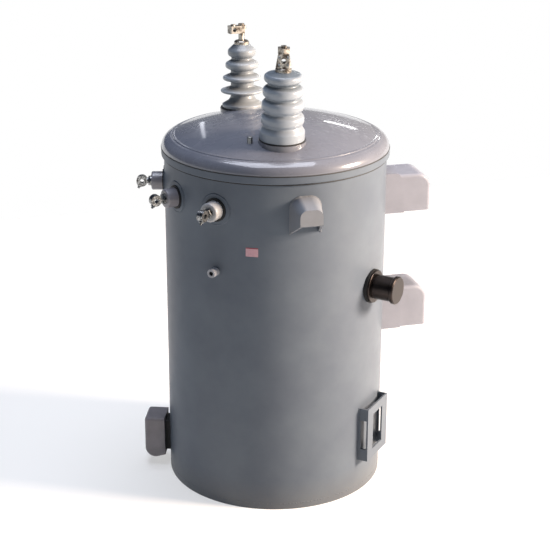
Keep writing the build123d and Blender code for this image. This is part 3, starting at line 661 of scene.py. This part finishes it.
# White glaze: smooth, with a soft highlight. The two bushings that stand further round get a darker grey copy
# of it, painted shade for the shade they stand in. Each row: the bushing, the seed of its weld and the two
# colours of its glaze.
lv_glazes_with_painted_shade = (("1", 11, "9a9b9d", "6f7173"), ("2", 12, "78777d", "5e5e65"), ("3", 13, "78777d", "5e5e65"))
lv_core = 0.008
lv_body = 0.02
lv_gloss = 0.3
seat_bead = 0.0035
seat_steps = 48
screw_size = 0.009
screw_head = 0.004
screw_tip = 0.004
screw_sink = 0.001
screw_lean = 0.5
stud_radius = 0.0063
stud_thread = 0.004
stud_pitch = 0.0014
stud_gap = 0.003
up = Vector((0.0, 0.0, 1.0))
for number, seed, clean, shaded in lv_glazes_with_painted_shade:
    low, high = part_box("lv_gasket_" + number)
    middle = (low + high) / 2
    angle = atan2(middle.y, middle.x)
    out = Vector((cos(angle), sin(angle), 0.0))
    seat_reach = max(abs(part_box("lv_boss_" + number)[i].z - middle.z) for i in (0, 1))
    glaze = glazed_porcelain("white_glazed_porcelain_" + number, middle, out, lv_core, lv_body, clean, shaded,
                             lv_gloss)
    finish_with(glaze, "lv_bushing_" + number)
    finish_with(rubber_and_painted_shade, "lv_gasket_" + number)
    finish_with(tank_enamel, "lv_boss_" + number)
    finish_with(tinned, "lv_terminal_" + number)
    ring = wall_ring(angle, middle.z, seat_reach, seat_steps)
    weld_bead("lv_seat_weld_" + number, [ring], seat_bead, seed, tank_enamel)
    terminal = "lv_terminal_" + number
    eye_radius = (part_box(terminal)[1].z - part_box(terminal)[0].z) / 2
    eye = middle + (reach(terminal, middle, out) - eye_radius) * out
    screw_way = (screw_lean * out - up).normalized()
    bolts("lv_clamp_screw_" + number, [eye + (eye_radius - screw_sink) * screw_way], [screw_way], screw_size,
          screw_head, screw_tip, plated_steel)
    threads("lv_stud_thread_" + number, [eye - (eye_radius + stud_gap) * out], [out], stud_radius,
            stud_thread, stud_pitch, tinned)


# Filling port. A short threaded steel coupling welded in the wall. It has a paler coat than the tank, and it
# is open.

# Pale primer, sprayed thin: matt and light, so that the dark bore stands out
port_enamel = spray_enamel("pale_grey_primer", clean="a5a8ae", shaded="92959c", roughness=0.5, coat=0.0,
                           peel=1.2, depth=0.0001)
finish_with(port_enamel, "filling_port")
low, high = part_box("filling_port")
port_level = (low.z + high.z) / 2
port_radius = (high.z - low.z) / 2
port_angle = atan2(low.y + high.y, low.x + high.x)
port_out = Vector((cos(port_angle), sin(port_angle), 0.0))
port_steps = 32
port_bead = 0.003
port_thread = 0.015
port_thread_start = 0.004
port_thread_radius = 0.005
port_pitch = 0.0018
port_ring = wall_ring(port_angle, port_level, port_radius, port_steps)
weld_bead("filling_port_weld", [port_ring], port_bead, seed=21, finish=tank_enamel)
threads("filling_port_thread", [on_wall(port_angle, port_level, 0.0, port_thread_start)], [port_out],
        port_thread_radius, port_thread, port_pitch, compound_and_painted_shadow)


# Tap changer housing. A round cap of nickel plated brass on a flange, over a rubber ring on the wall. The
# plating is dark, smooth and polished.

# Black nickel, polished and handled: dark and warm, with blurred reflections and a very fine grain
nickel, tree, surface, place = new_material("polished_black_nickel", Metallic=1.0)
cloud = add_node(tree, "ShaderNodeTexNoise", {"Scale": per_metre(18.0), "Detail": 4.0}, {"Vector": place})
tone = add_node(tree, "ShaderNodeValToRGB", {}, {0: cloud.outputs["Fac"]})
tone.color_ramp.elements[0].color = linear("2b2726")
tone.color_ramp.elements[1].color = linear("433d3b")
gloss = add_node(tree, "ShaderNodeMapRange", {"To Min": 0.28, "To Max": 0.4}, {"Value": cloud.outputs["Fac"]})
grain = add_node(tree, "ShaderNodeTexNoise", {"Scale": per_metre(0.7), "Detail": 2.0}, {"Vector": place})
bump = add_node(tree, "ShaderNodeBump", {"Strength": 0.08, "Distance": 0.0001},
                {"Height": grain.outputs["Fac"]})
tree.links.new(tone.outputs["Color"], surface.inputs["Base Color"])
tree.links.new(gloss.outputs[0], surface.inputs["Roughness"])
tree.links.new(bump.outputs[0], surface.inputs["Normal"])
finish_with(nickel, "tap_changer_cap", "tap_changer_flange")
finish_with(rubber_and_painted_shade, "tap_changer_gasket")


# Lifting lugs and pole hangers. Hoods of pressed steel plate, welded to the wall at their roots. The hangers
# have a gusset on each side. All are sprayed in a satin enamel that is paler than the tank's; the lugs' copy
# of it is a shade darker, painted shade.

# Pale satin enamel, sprayed: an even grey, a little blue, with a broad soft sheen
hood_enamel = spray_enamel("pale_satin_enamel", clean="838690", shaded="757882", roughness=0.5, coat=0.05,
                           peel=1.2, depth=0.0002)
finish_with(hood_enamel, "upper_hanger", "lower_hanger")
# The hoods' satin enamel with the same sheen, in a copy a shade darker for the lugs: painted shade
lug_enamel_painted_shade = spray_enamel("grey_satin_enamel", clean="777b82", shaded="696d73", roughness=0.5, coat=0.05,
                          peel=1.2, depth=0.0002)
finish_with(lug_enamel_painted_shade, "lifting_lug_front", "lifting_lug_back")
corner = 0.025
corner_turns = [radians(15.0 * k) for k in range(1, 7)]
root_bead = 0.004
for name, angle, seed in (("lifting_lug_front", -pi / 2, 31), ("lifting_lug_back", pi / 2, 32)):
    low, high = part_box(name)
    half = (high.x - low.x) / 2
    arch = [on_wall(angle, low.z, -half), on_wall(angle, high.z - corner, -half)]
    arch += [on_wall(angle, high.z - corner * (1 - sin(turn)), -half + corner * (1 - cos(turn)))
             for turn in corner_turns]
    arch += [on_wall(angle, high.z - corner * (1 - sin(turn)), half - corner * (1 - cos(turn)))
             for turn in reversed(corner_turns)]
    arch += [on_wall(angle, high.z - corner, half), on_wall(angle, low.z, half)]
    weld_bead(name + "_weld", [arch], root_bead, seed, lug_enamel_painted_shade)
hanger_shoulder = 0.010
for name, seed in (("upper_hanger", 33), ("lower_hanger", 34)):
    low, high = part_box(name)
    half = (high.y - low.y) / 2
    sides = [[on_wall(0.0, low.z, side * half), on_wall(0.0, high.z - hanger_shoulder, side * half)]
             for side in (-1, 1)]
    weld_bead(name + "_weld", sides, root_bead, seed, hood_enamel)


# Low bracket. A box shaped cover of pressed steel, fixed near the floor. It stands off the wall on a narrow
# pad, finished in the black rubber as painted shade for the dark gap behind the box.

# Brown grey satin enamel, sprayed: warmer and more uneven than the hoods, with the same broad sheen
box_enamel = spray_enamel("brown_grey_satin_enamel", clean="8f8b8e", shaded="726f71", roughness=0.5,
                          coat=0.05, peel=1.2, depth=0.0002)
finish_with(box_enamel, "low_bracket")
# Painted shade: the pad takes the black rubber finish to darken the gap between the box and the wall
finish_with(rubber_and_painted_shade, "low_bracket_pad")


# Rating plate bracket. A frame folded from steel sheet and welded to the wall at the ends of its two legs. It
# carries no plate.
finish_with(tank_enamel, "plate_bracket")
low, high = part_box("plate_bracket")
plate_angle = radians(-42.4)
plate_half = 0.0535
plate_leg = 0.029
plate_bead = 0.003
runs = [[on_wall(plate_angle, level, side * plate_half) for level in run]
        for side in (-1, 1) for run in ((low.z, low.z + plate_leg), (high.z - plate_leg, high.z))]
weld_bead("plate_bracket_weld", runs, plate_bead, seed=41, finish=tank_enamel)


# Sticker. A small label of printed film without any text, stuck on the wall below the first low voltage
# bushing.

# Printed vinyl film: a faded, uneven red with a soft gloss and a darker upper border
vinyl, tree, surface, place = new_material("faded_red_vinyl_film", Roughness=0.4)
cloud = add_node(tree, "ShaderNodeTexNoise", {"Scale": per_metre(7.0), "Detail": 4.0}, {"Vector": place})
tone = add_node(tree, "ShaderNodeValToRGB", {}, {0: cloud.outputs["Fac"]})
tone.color_ramp.elements[0].color = linear("a9808a")
tone.color_ramp.elements[1].color = linear("c39aa2")
sticker_angle = radians(-116.4)
sticker_level = 0.618
sticker_width = 0.027
sticker_height = 0.020
sticker_film = 0.0003
sticker_border = 0.0022
sticker_columns = 12
border_level = sticker_level + sticker_height / 2 - sticker_border
height = add_node(tree, "ShaderNodeSeparateXYZ", {}, {0: place}).outputs["Z"]
border = add_node(tree, "ShaderNodeMath", {"operation": "GREATER_THAN", 1: border_level}, {0: height})
printed = add_node(tree, "ShaderNodeMix", {"data_type": "RGBA", 7: linear("82303f")},
                   {0: border.outputs[0], 6: tone.outputs["Color"]})
tree.links.new(printed.outputs[2], surface.inputs["Base Color"])
film = bmesh.new()
columns = [sticker_width * (i / sticker_columns - 0.5) for i in range(sticker_columns + 1)]
rows = [[film.verts.new(on_wall(sticker_angle, level, sideways, out)) for sideways in columns]
        for out in (0.0, sticker_film)
        for level in (sticker_level - sticker_height / 2, sticker_level + sticker_height / 2)]
back_low, back_high, face_low, face_high = rows
for lower, upper in ((face_low, face_high), (back_high, back_low),
                     (back_low, face_low), (face_high, back_high)):
    for i in range(sticker_columns):
        film.faces.new((lower[i], lower[i + 1], upper[i + 1], upper[i]))
film.faces.new((back_low[0], face_low[0], face_high[0], back_high[0]))
film.faces.new((face_low[-1], back_low[-1], back_high[-1], face_high[-1]))
bmesh.ops.recalc_face_normals(film, faces=film.faces)
sticker_mesh = bpy.data.meshes.new("sticker")
film.to_mesh(sticker_mesh)
film.free()
sticker_mesh.materials.append(vinyl)
keep_piece("sticker", sticker_mesh)


# Core and windings. The wound core, clamped in its frame and sealed out of sight in the tank. One plain block
# stands for it, and it takes the finish of its plated frame.
finish_with(plated_steel, "core_and_windings")
